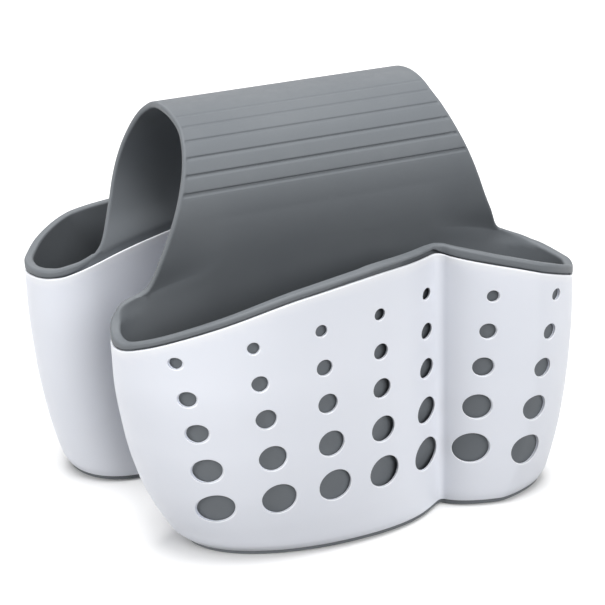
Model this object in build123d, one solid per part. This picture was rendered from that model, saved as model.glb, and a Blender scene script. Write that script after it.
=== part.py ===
from build123d import *
import os

os.makedirs("parts", exist_ok=True)

# Sink caddy that hangs astride a divider: two rigid perforated shells, each
# lined by a soft pocket, and one soft band that joins the two pockets.
# X along the baskets, Y from the front basket (-) to the back one (+), Z up,
# origin on the standing surface midway between the baskets. All sizes in mm.
# The back basket is the front one turned half a turn about Z.

# ---- plan outline of a basket at the top; y measured outwards from the middle
X_LEFT, X_RIGHT = -91.8, 98.1
Y_LEFT, Y_RIGHT = 34.0, 46.1
R_LEFT, R_RIGHT = 17.2, 24.8
GAP = 21.5                         # inner wall to the middle plane
X_BIG, W_BIG = -35.2, 75.7            # large lobe
X_SMALL, W_SMALL = 71.7, 71.8          # small lobe
X_NOTCH, W_NOTCH = 34.4, 55.7          # crease between the lobes
H1, H2, H3, H4, S1 = 0.54, 0.59, 0.72, 0.17, 0.33
H5, H6, H7, H8, S2 = 0.18, 0.1, 0.22, 0.63, 1.77

# ---- how far the end walls draw in at each height, and each side's share
TAPER = [(2, 28.1), (5, 24.0), (10, 20.9), (18, 16.6), (30, 11.8), (50, 7.0), (75, 4.4), (110, 4.4)]
K_LEFT, K_RIGHT, K_BIG, K_SMALL, K_NOTCH, K_GAP, K_SHIFT = 1.0, 0.48, 0.36, 0.3, 0.09, 0.0, 0.09

K_BIG_X, K_SMALL_X = 1.09, -0.48          # how the two lobes' crests shift with it

# ---- top edge of a shell, from each end (0) to the crease (1)
RIM_LEFT = [(0.0, 81.7), (0.08, 90.0), (0.25, 99.3), (0.5, 107.3), (0.75, 109.7), (1.0, 106.8)]
RIM_RIGHT = [(0.0, 84.6), (0.15, 90.0), (0.5, 98.6), (1.0, 106.8)]

RIM_TILT = -0.0131      # the cut also rises outwards by this slope, level at y = 45

# ---- walls
WALL = 1.2            # rigid shell
CLEAR = 0.3           # shell to pocket
LINER_T = 2.4         # soft pocket wall
SOFT = 1.0            # the pocket eases the crease
FLOOR_TOP = 3.0
FOOT_INSET = 0.9
FOOT_TOP = 1.7         # the foot's step, under the shell's bottom edge
FLANGE = 2.9          # top of the soft rim above the shell's edge
NECK = 0.6            # bottom of the soft rim above the shell's edge
FLANGE_INSET = 0.15
DRAINS = [(-44.0, 43.0), (-21.0, 35.0), (-21.0, 51.0), (2.0, 35.0), (2.0, 51.0), (25.0, 35.0), (24.0, 50.0), (48.0, 42.0), (68.0, 42.0)]
DRAIN_R = 1.8

# ---- round holes through the outer wall, seven columns of five
HOLE_R = [2.32, 3.14, 3.93, 5.25, 6.55]
HOLE_X = [[-73.0, -70.1, -67.3, -64.1, -60.6], [-47.8, -46.0, -44.1, -41.7, -38.9], [-22.3, -21.4, -20.3, -18.9, -17.1], [2.4, 2.7, 3.0, 3.6, 4.4], [27.3, 27.3, 27.1, 26.9, 26.7], [51.7, 50.0, 48.5, 46.8, 45.2], [78.1, 74.8, 71.9, 69.2, 66.7]]
HOLE_Z = [[86.2, 72.4, 58.5, 42.6, 25.3], [91.2, 77.2, 62.9, 46.4, 28.3], [93.4, 78.9, 64.4, 47.7, 29.6], [93.7, 79.0, 64.2, 47.3, 29.0], [92.9, 77.9, 62.7, 45.3, 26.9], [89.9, 75.8, 61.1, 44.3, 26.3], [86.1, 72.0, 57.7, 41.1, 22.9]]

# ---- soft band: inner face of one half, crown to rim, as (y, z)
BAND = [(0.0, 159.6), (7.9, 158.9), (15.6, 156.4), (22.6, 152.0), (28.1, 145.4), (31.4, 137.2), (32.0, 127.9), (30.2, 118.1), (26.8, 108.5), (22.3, 99.4), (22.0, 82.0)]
BAND_END = (0.0, -1.0)
NECK_SHIFT = 0.7      # between the flares the band stands behind the shell's edge
BAND_LOW = 2.0
FLARE_IN, FLARE_LEFT, FLARE_RIGHT = 74.0, 75.0, 77.0
LEG_X = [-104.0, -84.0, -76.0, -70.0, -64.0, -56.0, -44.0, -30.0, -15.0, 0.0, 15.0, 25.0, 31.0, 38.0, 48.0, 58.0, 64.0, 70.0, 77.0, 86.0, 108.0]
BAND_T = 2.5
CROWN_HALF = 9.0
EDGE_LEFT = [(51.8, 162.6), (51.6, 158.9), (51.5, 156.4), (52.8, 152.0), (55.1, 145.4), (58.1, 137.2), (61.3, 127.9), (64.2, 118.1), (67.6, 108.5), (71.7, 99.4), (74.4, 96.2), (77.5, 91.5), (82.0, 84.0), (92.0, 72.0)]
EDGE_RIGHT = [(51.8, 162.6), (51.6, 158.9), (51.5, 156.4), (52.8, 152.0), (55.3, 145.4), (58.6, 137.2), (62.3, 127.9), (66.0, 118.1), (70.2, 108.5), (75.1, 99.4), (79.5, 96.6), (85.0, 94.0), (92.0, 90.0), (102.0, 84.0)]
GROOVE_Z = [160.5, 158.1, 154.5, 149.7, 144.1, 137.9]
GROOVE_W, GROOVE_D, GROOVE_STOP = 1.1, 0.6, 1.6

# ---------------------------------------------------------------- helpers
def lerp(table, z):
    """Piecewise cubic (monotone) interpolation of a [(z, value), ...] table."""
    n = len(table)
    if z <= table[0][0]:
        return table[0][1]
    if z >= table[-1][0]:
        return table[-1][1]
    xs = [p[0] for p in table]
    ys = [p[1] for p in table]
    h = [xs[i + 1] - xs[i] for i in range(n - 1)]
    dl = [(ys[i + 1] - ys[i]) / h[i] for i in range(n - 1)]
    m = [0.0] * n
    m[0], m[-1] = dl[0], dl[-1]
    for i in range(1, n - 1):
        if dl[i - 1] * dl[i] <= 0:
            m[i] = 0.0
        else:
            w1 = 2 * h[i] + h[i - 1]
            w2 = h[i] + 2 * h[i - 1]
            m[i] = (w1 + w2) / (w1 / dl[i - 1] + w2 / dl[i])
    i = max(k for k in range(n - 1) if xs[k] <= z)
    t = (z - xs[i]) / h[i]
    return ((1 + 2 * t) * (1 - t) ** 2 * ys[i] + t * (1 - t) ** 2 * h[i] * m[i]
            + t * t * (3 - 2 * t) * ys[i + 1] + t * t * (t - 1) * h[i] * m[i + 1])


def outline(z, off, soft=0.0):
    """Plan outline of the front basket at height z, moved inwards by off.
    Returned as cubic Bezier segments; soft = 1 eases the crease for the liner."""
    dl = lerp(TAPER, z)
    xl = X_LEFT + dl * K_LEFT + off
    xr = X_RIGHT - dl * K_RIGHT - off
    w1 = W_BIG - dl * K_BIG - off
    w2 = W_SMALL - dl * K_SMALL - off
    wn = W_NOTCH - dl * K_NOTCH - off - 0.6 * soft
    g = GAP + dl * K_GAP + off
    m1, m2, xn = X_BIG + dl * K_BIG_X, min(X_SMALL + dl * K_SMALL_X, xr - 4), X_NOTCH + dl * K_SHIFT
    yl, yr, rl, rr = Y_LEFT, Y_RIGHT, R_LEFT, R_RIGHT
    h3 = H3 * (1 - 0.22 * soft)
    seg = [
        [(xl + rl, g), (xl + rl * .4, g), (xl, g + (yl - g) * .4), (xl, yl)],
        [(xl, yl), (xl, yl + (w1 - yl) * H1), (m1 + (xl - m1) * H2, w1), (m1, w1)],
        [(m1, w1), (m1 + (xn - m1) * h3, w1), (xn + (m1 - xn) * H4, wn + (xn - m1) * H4 * S1), (xn, wn)],
        [(xn, wn), (xn + (m2 - xn) * H5, wn + (m2 - xn) * H5 * S2), (m2 + (xn - m2) * H6, w2), (m2, w2)],
        [(m2, w2), (m2 + (xr - m2) * H7, w2), (xr, yr + (w2 - yr) * H8), (xr, yr)],
        [(xr, yr), (xr, g + (yr - g) * .4), (xr - rr * .4, g), (xr - rr, g)],
        [(xr - rr, g), (xr - rr - (xr - rr - xl - rl) / 3, g), (xl + rl + (xr - rr - xl - rl) / 3, g), (xl + rl, g)],
    ]
    return [[(x, -y) for x, y in q] for q in seg]


def wire_at(z, off, soft=0.0, lift=0.0):
    return Wire([Edge.make_bezier(*[Vector(x, y, z + lift) for x, y in q]) for q in outline(z, off, soft)])


def stack(levels, off, soft=0.0):
    return Solid.make_loft([wire_at(z, off, soft) for z in levels], ruled=True)


def rim_z(x):
    """Height of the shells' cut at y = 45: rises from both ends to the notch."""
    if x <= X_NOTCH:
        t = max(0.0, min(1.0, (x - X_LEFT) / (X_NOTCH - X_LEFT)))
        return lerp(RIM_LEFT, t)
    t = max(0.0, min(1.0, (X_RIGHT - x) / (X_RIGHT - X_NOTCH)))
    return lerp(RIM_RIGHT, t)


def under(lift):
    """Everything below the rim line raised by lift."""
    nl, nr = 12, 8
    drop = RIM_TILT * (160 - 45)
    left = [Vector(X_LEFT + (X_NOTCH - X_LEFT) * i / nl, -160, rim_z(X_LEFT + (X_NOTCH - X_LEFT) * i / nl) + lift + drop) for i in range(nl + 1)]
    right = [Vector(X_NOTCH + (X_RIGHT - X_NOTCH) * i / nr, -160, rim_z(X_NOTCH + (X_RIGHT - X_NOTCH) * i / nr) + lift + drop) for i in range(nr + 1)]
    a = Vector(X_LEFT - 30, -160, left[0].Z)
    b = Vector(X_RIGHT + 30, -160, right[-1].Z)
    c = Vector(X_RIGHT + 30, -160, -90)
    e = Vector(X_LEFT - 30, -160, -90)
    w = Wire([Edge.make_line(a, left[0]), Edge.make_spline(left), Edge.make_spline(right),
              Edge.make_line(right[-1], b), Edge.make_line(b, c), Edge.make_line(c, e), Edge.make_line(e, a)])
    return extrude(Face(w), amount=160 * (1 + RIM_TILT ** 2) ** 0.5, dir=(0, 1, -RIM_TILT))


def prism(z_plan, off, z0, z1):
    w = Wire([Edge.make_bezier(*[Vector(x, y, z0) for x, y in q]) for q in outline(z_plan, off)])
    return extrude(Face(w), amount=z1 - z0, dir=(0, 0, 1))


def one(shape):
    """Largest solid of a boolean result."""
    s = sorted(shape.solids(), key=lambda q: q.volume)
    return s[-1]


# ---------------------------------------------------------------- baskets
LEVELS = [2.0, 3.5, 5.5, 8.5, 13.0, 19.0, 27.0, 38.0, 54.0, 76.0, 122.0]
IN_LEVELS = [2.0, 3.5, 5.5, 8.5, 13.0, 19.0, 27.0, 38.0, 54.0, 76.0, 124.0]
CUP_LEVELS = [3.6, 5.5, 8.5, 13.0, 19.0, 27.0, 38.0, 54.0, 76.0, 124.0]
CAV_LEVELS = [FLOOR_TOP, 5.5, 8.5, 13.0, 19.0, 27.0, 38.0, 54.0, 76.0, 126.0]


def make_shell():
    s = stack(LEVELS, 0.0) - stack(IN_LEVELS, WALL)
    s = one(s & under(0.0))
    for col in range(len(HOLE_X)):
        for row in range(5):
            x, z, r = HOLE_X[col][row], HOLE_Z[col][row], HOLE_R[row]
            tool = Solid.make_cylinder(r, 120, Plane(origin=(x, -(Y_LEFT + 6), z), x_dir=(1, 0, 0), z_dir=(0, -1, 0)))
            s = s - tool
    return one(s)


def make_liner():
    cup = stack(CUP_LEVELS, WALL + CLEAR, SOFT) & under(NECK + 0.4)
    ring = (stack([70.0, 90.0, 126.0], FLANGE_INSET) & under(FLANGE)) - under(NECK)
    inner_edge = Box(FLARE_LEFT + FLARE_RIGHT, 40, 80, align=(Align.MIN, Align.MIN, Align.MIN))
    ring = ring - Pos(-FLARE_LEFT, -(GAP + WALL + CLEAR), 60) * inner_edge
    step = prism(2.0, FOOT_INSET, 0.0, FOOT_TOP)
    step = step - Pos(0, -(GAP + WALL + CLEAR), -5) * Box(300, 60, 20, align=(Align.CENTER, Align.MIN, Align.MIN))
    for z in (4.0, 6.0, 8.5, 13.0, 19.0, 27.0, 38.0, 54.0, 76.0):
        step = step & prism(z, WALL + 0.15, -1.0, FOOT_TOP + 1.0)
    foot = step + prism(2.0, WALL + CLEAR, 0.0, 4.6)
    body = one(cup) + one(ring) + foot
    body = body - stack(CAV_LEVELS, WALL + CLEAR + LINER_T, SOFT)
    for x, y in DRAINS:
        body = body - Solid.make_cylinder(DRAIN_R, 20, Plane(origin=(x, -y, -5), z_dir=(0, 0, 1)))
    return one(body)


front_shell = make_shell()
front_liner = make_liner()



# ---------------------------------------------------------------- saddle
def offset_path(points, off):
    """Polyline of (y, z) points moved to its outer side by off."""
    out = []
    n = len(points)
    for i in range(n):
        a = points[max(0, i - 1)]
        b = points[min(n - 1, i + 1)]
        dy, dz = b[0] - a[0], b[1] - a[1]
        m = (dy * dy + dz * dz) ** 0.5
        out.append((points[i][0] - dz / m * off, points[i][1] + dy / m * off))
    return out


def half_path(n=48):
    """Inner face of one half of the band, from the crown to the rim."""
    spl = Edge.make_spline([Vector(0, y, z) for y, z in BAND], tangents=[Vector(0, 1, 0), Vector(0, BAND_END[0], BAND_END[1])])
    pts = []
    for i in range(n + 1):
        p = spl.position_at(i / n)
        pts.append((p.Y, p.Z))
    return pts


PATH = half_path()
OUTER = offset_path(PATH, BAND_T)


def split_index(limit):
    return min(i for i in range(len(PATH)) if PATH[i][0] >= limit)


def neck_z(x):
    """Height at which the band leaves the inner wall."""
    return max(BAND[-2][1], rim_z(x) + RIM_TILT * (GAP - 45) + FLANGE + 0.2)


def leg_lines(x):
    """Inner and outer face lines of the front leg at one x, as (y, z)."""
    z0, z1 = BAND[6][1], BAND[-2][1]
    zn = neck_z(x)
    t = max(0.0, min(1.0, (FLARE_IN - abs(x)) / 12.0))
    dy = NECK_SHIFT * t * t * (3 - 2 * t)
    inner = []
    for y, z in PATH:
        if z < z0:
            w = max(0.0, min(1.0, (z0 - z) / (z0 - z1)))
            y = y + dy * w * w * (3 - 2 * w)
            z = z0 - (z0 - z) * (z0 - zn) / (z0 - z1) if z > z1 else zn - (z1 - z)
        inner.append((y, z))
    outer = offset_path(inner, BAND_T)
    n = len(inner)
    for i in range(n):
        w = max(0.0, min(1.0, (inner[i][1] - zn) / 8.0))
        k = BAND_LOW / BAND_T + (1 - BAND_LOW / BAND_T) * w
        outer[i] = (inner[i][0] + (outer[i][0] - inner[i][0]) * k, inner[i][1] + (outer[i][1] - inner[i][1]) * k)
    return inner, outer


def leg_stock(i0):
    """Front leg as wide as the stock, lofted along X from face lines."""
    wires = []
    for x in LEG_X:
        inner, outer = leg_lines(x)
        a = [Vector(x, -y, z) for y, z in inner[i0:]]
        b = [Vector(x, -y, z) for y, z in outer[i0:]]
        wires.append(Wire([Edge.make_spline(a), Edge.make_line(a[-1], b[-1]), Edge.make_spline(b[::-1]), Edge.make_line(b[0], a[0])]))
    return Solid.make_loft(wires, ruled=True)


def edge_mask(left, right):
    """Flat outline of a leg seen from the front, as a thick plate to trim with."""
    lp = [Vector(-x, -160, z) for x, z in left]
    rp = [Vector(x, -160, z) for x, z in right]
    w = Wire([Edge.make_spline(lp), Edge.make_line(lp[-1], rp[-1]), Edge.make_spline(rp[::-1]), Edge.make_line(rp[0], lp[0])])
    return extrude(Face(w), amount=320, dir=(0, 1, 0))


def groove_tool(k, width):
    """Shallow V channel across the band's outer face."""
    y, z = OUTER[k]
    a, b = OUTER[k - 1], OUTER[k + 1]
    m = ((b[0] - a[0]) ** 2 + (b[1] - a[1]) ** 2) ** 0.5
    ty, tz = (b[0] - a[0]) / m, (b[1] - a[1]) / m
    ny, nz = -tz, ty
    h, g = GROOVE_W / 2, GROOVE_D
    pts = [(y + ty * h + ny * 0.3, z + tz * h + nz * 0.3), (y - ny * g, z - nz * g), (y - ty * h + ny * 0.3, z - tz * h + nz * 0.3)]
    w = Wire.make_polygon([Vector(width[0], -p[0], p[1]) for p in pts], close=True)
    return extrude(Face(w), amount=width[1] - width[0], dir=(1, 0, 0))


def groove_index(z_at):
    """Path point of the leg's outer face nearest to a height."""
    lo = split_index(CROWN_HALF)
    return min(range(1, len(OUTER) - 1), key=lambda i: abs(OUTER[i][1] - z_at))


def width_at(z, left, right):
    l = lerp(sorted((b, a) for a, b in left), z)
    r = lerp(sorted((b, a) for a, b in right), z)
    return (-l + GROOVE_STOP, r - GROOVE_STOP)


cut = split_index(CROWN_HALF)
leg = leg_stock(cut)
leg = one(leg & edge_mask(EDGE_LEFT, EDGE_RIGHT))
leg = one(leg - under(FLANGE))
for z_at in GROOVE_Z:
    k = groove_index(z_at)
    if k > cut + 1:
        leg = leg - groove_tool(k, width_at(OUTER[k][1], EDGE_LEFT, EDGE_RIGHT))
front_leg = one(leg)

inner = [Vector(-150, -y, z) for y, z in PATH[cut::-1]] + [Vector(-150, y, z) for y, z in PATH[1:cut + 1]]
outer = [Vector(-150, -y, z) for y, z in OUTER[cut::-1]] + [Vector(-150, y, z) for y, z in OUTER[1:cut + 1]]
w = Wire([Edge.make_spline(inner), Edge.make_line(inner[-1], outer[-1]), Edge.make_spline(outer[::-1]), Edge.make_line(outer[0], inner[0])])
crown = extrude(Face(w), amount=300, dir=(1, 0, 0))
zc = PATH[cut][1]
cl = lerp(sorted((b, a) for a, b in EDGE_LEFT), zc)
cr = lerp(sorted((b, a) for a, b in EDGE_RIGHT), zc)
yc = PATH[cut][0] + 1.0
plan = Wire.make_polygon([Vector(-cl, -yc, 0), Vector(cr, -yc, 0), Vector(cl, yc, 0), Vector(-cr, yc, 0)], close=True)
crown = one(crown & extrude(Face(plan), amount=260, dir=(0, 0, 1)))
for z_at in GROOVE_Z:
    k = groove_index(z_at)
    if k <= cut + 1 and k < cut - 1:
        crown = crown - groove_tool(k, (-cl + GROOVE_STOP, cr - GROOVE_STOP))
        crown = crown - groove_tool(k, (-cl + GROOVE_STOP, cr - GROOVE_STOP)).rotate(Axis.Z, 180)
crown = one(crown)

turn = Axis.Z
nodes = {
    "front_shell": front_shell,
    "back_shell": front_shell.rotate(turn, 180),
    "front_liner": front_liner,
    "back_liner": front_liner.rotate(turn, 180),
    "saddle_front_leg": front_leg,
    "saddle_back_leg": front_leg.rotate(turn, 180),
    "saddle_crown": crown,
}
for name, shape in nodes.items():
    shape.label = name
    export_step(shape, f"parts/{name}.step")
    bb = shape.bounding_box()
    print(name, round(shape.volume / 1000, 2), "cm3", [round(v, 1) for v in (bb.min.X, bb.min.Y, bb.min.Z, bb.max.X, bb.max.Y, bb.max.Z)], shape.is_valid)
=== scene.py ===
import math

import bpy
import numpy as np
from mathutils import Matrix, Vector
from mathutils.geometry import delaunay_2d_cdt


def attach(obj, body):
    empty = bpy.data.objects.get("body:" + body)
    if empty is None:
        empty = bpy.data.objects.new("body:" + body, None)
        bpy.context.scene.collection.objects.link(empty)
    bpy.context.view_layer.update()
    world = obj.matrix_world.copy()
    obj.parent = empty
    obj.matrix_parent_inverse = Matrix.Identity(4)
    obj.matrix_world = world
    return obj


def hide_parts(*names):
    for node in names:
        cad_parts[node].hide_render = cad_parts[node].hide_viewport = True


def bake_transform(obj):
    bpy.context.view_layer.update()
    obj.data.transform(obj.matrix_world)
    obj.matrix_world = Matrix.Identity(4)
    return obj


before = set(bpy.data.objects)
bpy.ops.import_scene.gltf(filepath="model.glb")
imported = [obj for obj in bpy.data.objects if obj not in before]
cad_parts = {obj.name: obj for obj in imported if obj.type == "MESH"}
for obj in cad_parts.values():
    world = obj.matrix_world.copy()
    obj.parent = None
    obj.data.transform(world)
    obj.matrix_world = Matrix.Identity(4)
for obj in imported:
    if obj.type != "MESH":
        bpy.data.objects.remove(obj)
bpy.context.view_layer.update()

# ------------------------------------------------------------------ numbers
# All shape numbers are in millimetres and are the frame's own; the front
# basket is built and the back one is the same shape turned half a turn.
X_LEFT, X_RIGHT = -91.8, 98.1
Y_LEFT, Y_RIGHT = 34.0, 46.1
R_LEFT, R_RIGHT = 17.2, 24.8
GAP = 21.5
X_BIG, W_BIG = -35.2, 75.7
X_SMALL, W_SMALL = 71.7, 71.8
X_NOTCH, W_NOTCH = 34.4, 55.7
H1, H2, H3, H4, S1 = 0.54, 0.59, 0.72, 0.17, 0.33
H5, H6, H7, H8, S2 = 0.18, 0.1, 0.22, 0.63, 1.77
TAPER = [(2, 28.1), (5, 24.0), (10, 20.9), (18, 16.6), (30, 11.8), (50, 7.0), (75, 4.4), (110, 4.4)]
K_LEFT, K_RIGHT, K_BIG, K_SMALL, K_NOTCH, K_GAP, K_SHIFT = 1.0, 0.48, 0.36, 0.3, 0.09, 0.0, 0.09
K_BIG_X, K_SMALL_X = 1.09, -0.48
RIM_LEFT = [(0.0, 81.7), (0.08, 90.0), (0.25, 99.3), (0.5, 107.3), (0.75, 109.7), (1.0, 106.8)]
RIM_RIGHT = [(0.0, 84.6), (0.15, 90.0), (0.5, 98.6), (1.0, 106.8)]
RIM_TILT = -0.0131
WALL = 1.2
CLEAR = 0.3
LINER_T = 2.4
FLOOR_TOP = 3.0
FOOT_INSET = 0.9
FOOT_TOP = 1.7
FLANGE = 2.9
NECK = 0.6
DRAINS = [(-44.0, 43.0), (-21.0, 35.0), (-21.0, 51.0), (2.0, 35.0), (2.0, 51.0), (25.0, 35.0), (24.0, 50.0), (48.0, 42.0), (68.0, 42.0)]
DRAIN_R = 1.8
HOLE_R = [2.32, 3.14, 3.93, 5.25, 6.55]
HOLE_X = [[-73.0, -70.1, -67.3, -64.1, -60.6], [-47.8, -46.0, -44.1, -41.7, -38.9], [-22.3, -21.4, -20.3, -18.9, -17.1], [2.4, 2.7, 3.0, 3.6, 4.4], [27.3, 27.3, 27.1, 26.9, 26.7], [51.7, 50.0, 48.5, 46.8, 45.2], [78.1, 74.8, 71.9, 69.2, 66.7]]
HOLE_Z = [[86.2, 72.4, 58.5, 42.6, 25.3], [91.2, 77.2, 62.9, 46.4, 28.3], [93.4, 78.9, 64.4, 47.7, 29.6], [93.7, 79.0, 64.2, 47.3, 29.0], [92.9, 77.9, 62.7, 45.3, 26.9], [89.9, 75.8, 61.1, 44.3, 26.3], [86.1, 72.0, 57.7, 41.1, 22.9]]
BAND = [(0.0, 159.6), (7.9, 158.9), (15.6, 156.4), (22.6, 152.0), (28.1, 145.4), (31.4, 137.2), (32.0, 127.9), (30.2, 118.1), (26.8, 108.5), (22.3, 99.4), (22.0, 82.0)]
# band edges below the crown as (distance from the middle, length along the face)
HALF_W = [51.8, 51.6, 51.5, 52.8, 55.1, 58.1, 61.3]
HALF_WIDE = [51.8, 51.6, 51.5, 52.8, 55.3, 58.8, 62.8]
EDGE_FRONT_L = [(64.8, 118.3), (66.4, 113.2), (68.0, 106.8), (69.1, 103.9), (70.3, 101.9), (72.4, 100.45), (75.7, 99.2), (79.6, 98.05)]
EDGE_FRONT_R = [(66.7, 120.2), (68.9, 115.6), (71.2, 111.5), (73.3, 107.4), (75.1, 103.6), (77.3, 100.2), (80.9, 98.2), (84.1, 96.9), (87.2, 95.6)]
EDGE_BACK_L = [(66.7, 120.2), (68.9, 115.6), (71.2, 111.5), (73.0, 107.4), (74.3, 103.6), (76.4, 100.6), (79.6, 98.6)]
EDGE_BACK_R = [(64.3, 118.8), (66.1, 113.2), (68.9, 106.2), (71.2, 102.1), (74.8, 99.3), (80.0, 96.7), (84.7, 95.1), (89.3, 93.3)]
# extra height of the soft rim round the ends, as (length round the loop, height)
RISE_L = [(84.5, 4.9), (88.0, 4.1), (92.0, 2.4), (96.0, 0.9), (101.0, 0.0)]
RISE_R = [(236.0, 0.3), (246.0, 1.1), (255.0, 1.2), (264.0, 0.9), (274.0, 0.9), (287.0, 1.1), (300.0, 1.2), (306.0, 0.9), (312.0, 0.55), (318.0, 0.3), (322.0, 0.3), (326.0, 0.6), (330.0, 1.3), (334.0, 1.6), (338.0, 1.5), (342.0, 1.5)]
RISE_R_BACK = [(236.0, 0.3), (246.0, 1.1), (255.0, 1.3), (264.0, 1.6), (272.0, 2.1), (280.0, 2.6), (288.0, 3.0), (297.0, 3.1), (303.0, 2.8), (308.0, 2.2), (313.0, 1.5), (318.0, 0.8), (323.0, 0.35), (328.0, 0.4), (334.0, 0.7), (340.0, 0.75)]
# how far the soft wall stands back from the rigid one near the crease, by x
RECESS = [(13.0, 0.0), (22.0, 1.1), (33.0, 1.5), (37.0, 0.4), (40.0, 0.0)]
GAP_DEEP = [(-26.0, 0.0), (-12.0, 0.5), (6.0, 1.1), (22.0, 1.4), (31.0, 1.4), (35.5, 0.1), (37.0, 0.0)]
BAND_T = 2.5
NECK_SHIFT = 0.7
GROOVE_S = [1.41, 2.15, 2.90, 3.63, 4.31, 4.98]
GROOVE_D, GROOVE_STOP = [0.22, 0.30, 0.42, 0.52, 0.60, 0.70], 0.95


# ------------------------------------------------------------------ curves
class Mono:
    """Monotone cubic through (x, y) pairs, flat outside them."""

    def __init__(self, pts):
        self.x = np.array([p[0] for p in pts], float)
        self.y = np.array([p[1] for p in pts], float)
        h = np.diff(self.x)
        d = np.diff(self.y) / h
        m = np.zeros(len(self.x))
        m[0], m[-1] = d[0], d[-1]
        for i in range(1, len(h)):
            if d[i - 1] * d[i] > 0:
                a, b = 2 * h[i] + h[i - 1], h[i] + 2 * h[i - 1]
                m[i] = (a + b) / (a / d[i - 1] + b / d[i])
        self.h, self.m = h, m

    def __call__(self, q):
        q = np.clip(np.asarray(q, float), self.x[0], self.x[-1])
        i = np.clip(np.searchsorted(self.x, q, side="right") - 1, 0, len(self.h) - 1)
        h = self.h[i]
        t = (q - self.x[i]) / h
        return ((1 + 2 * t) * (1 - t) ** 2 * self.y[i] + t * (1 - t) ** 2 * h * self.m[i]
                + t * t * (3 - 2 * t) * self.y[i + 1] + t * t * (t - 1) * h * self.m[i + 1])


class Spline:
    """Cubic spline through points at given parameters; end slopes optional."""

    def __init__(self, t, v, start=None, end=None):
        t = np.asarray(t, float)
        v = np.asarray(v, float)
        n = len(t)
        h = np.diff(t)
        a = np.zeros((n, n))
        r = np.zeros(n)
        for i in range(1, n - 1):
            a[i, i - 1], a[i, i], a[i, i + 1] = h[i - 1], 2 * (h[i - 1] + h[i]), h[i]
            r[i] = 6 * ((v[i + 1] - v[i]) / h[i] - (v[i] - v[i - 1]) / h[i - 1])
        if start is None:
            a[0, 0] = 1
        else:
            a[0, 0], a[0, 1], r[0] = 2 * h[0], h[0], 6 * ((v[1] - v[0]) / h[0] - start)
        if end is None:
            a[-1, -1] = 1
        else:
            a[-1, -1], a[-1, -2], r[-1] = 2 * h[-1], h[-1], 6 * (end - (v[-1] - v[-2]) / h[-1])
        self.t, self.v, self.h, self.c = t, v, h, np.linalg.solve(a, r)

    def __call__(self, q):
        q = np.clip(np.asarray(q, float), self.t[0], self.t[-1])
        i = np.clip(np.searchsorted(self.t, q, side="right") - 1, 0, len(self.h) - 1)
        h = self.h[i]
        a = (self.t[i + 1] - q) / h
        b = 1 - a
        return (a * self.v[i] + b * self.v[i + 1]
                + ((a ** 3 - a) * self.c[i] + (b ** 3 - b) * self.c[i + 1]) * h * h / 6)


def smooth(t):
    t = np.clip(t, 0.0, 1.0)
    return t * t * (3 - 2 * t)


taper = Mono(TAPER)
_rl, _rr = Mono(RIM_LEFT), Mono(RIM_RIGHT)


def rim_raw(x):
    x = np.asarray(x, float)
    return np.where(x <= X_NOTCH, _rl((x - X_LEFT) / (X_NOTCH - X_LEFT)), _rr((X_RIGHT - x) / (X_RIGHT - X_NOTCH)))


def rim_z(x, y=45.0):
    """Top edge of the rigid shell at x and outward y, the peak a little eased."""
    x = np.asarray(x, float)
    w = 0.9
    s = sum(rim_raw(x + w * k) for k in (-1, -0.5, 0, 0.5, 1)) / 5
    b = smooth(1.6 - np.abs(x - X_NOTCH) / 4.0)
    y = np.asarray(y, float)
    tip = 2.7 * smooth((y - 22.0) / 20.0) * smooth((58.5 - y) / 11.0) * smooth((x - 82.0) / 9.0)
    return rim_raw(x) * (1 - b) + s * b + RIM_TILT * (y - 45.0) + tip


# ------------------------------------------------------------------ basket plan
def controls(z, off, soft=0.0):
    """Bezier points of the plan outline: (n, 7, 4, 2), y positive outwards."""
    z, off = np.broadcast_arrays(np.asarray(z, float), np.asarray(off, float))
    dl = taper(z)
    xl = X_LEFT + dl * K_LEFT + off
    xr = X_RIGHT - dl * K_RIGHT - off
    w1 = W_BIG - dl * K_BIG - off
    w2 = W_SMALL - dl * K_SMALL - off
    wn = W_NOTCH - dl * K_NOTCH - off - 0.6 * soft
    g = GAP + dl * K_GAP + off
    m1 = X_BIG + dl * K_BIG_X
    m2 = np.minimum(X_SMALL + dl * K_SMALL_X, xr - 4)
    xn = X_NOTCH + dl * K_SHIFT
    yl, yr = np.full_like(xl, Y_LEFT), np.full_like(xl, Y_RIGHT)
    h3 = H3 * (1 - 0.22 * np.asarray(soft, float))
    rl, rr = R_LEFT, R_RIGHT
    seg = [
        [(xl + rl, g), (xl + rl * .4, g), (xl, g + (yl - g) * .4), (xl, yl)],
        [(xl, yl), (xl, yl + (w1 - yl) * H1), (m1 + (xl - m1) * H2, w1), (m1, w1)],
        [(m1, w1), (m1 + (xn - m1) * h3, w1), (xn + (m1 - xn) * H4, wn + (xn - m1) * H4 * S1), (xn, wn)],
        [(xn, wn), (xn + (m2 - xn) * H5, wn + (m2 - xn) * H5 * S2), (m2 + (xn - m2) * H6, w2), (m2, w2)],
        [(m2, w2), (m2 + (xr - m2) * H7, w2), (xr, yr + (w2 - yr) * H8), (xr, yr)],
        [(xr, yr), (xr, g + (yr - g) * .4), (xr - rr * .4, g), (xr - rr, g)],
        [(xr - rr, g), (xr - rr - (xr - rr - xl - rl) / 3, g), (xl + rl + (xr - rr - xl - rl) / 3, g), (xl + rl, g)],
    ]
    out = np.zeros(z.shape + (7, 4, 2))
    for i, s in enumerate(seg):
        for j, (a, b) in enumerate(s):
            out[..., i, j, 0] = a
            out[..., i, j, 1] = b
    return out


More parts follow.
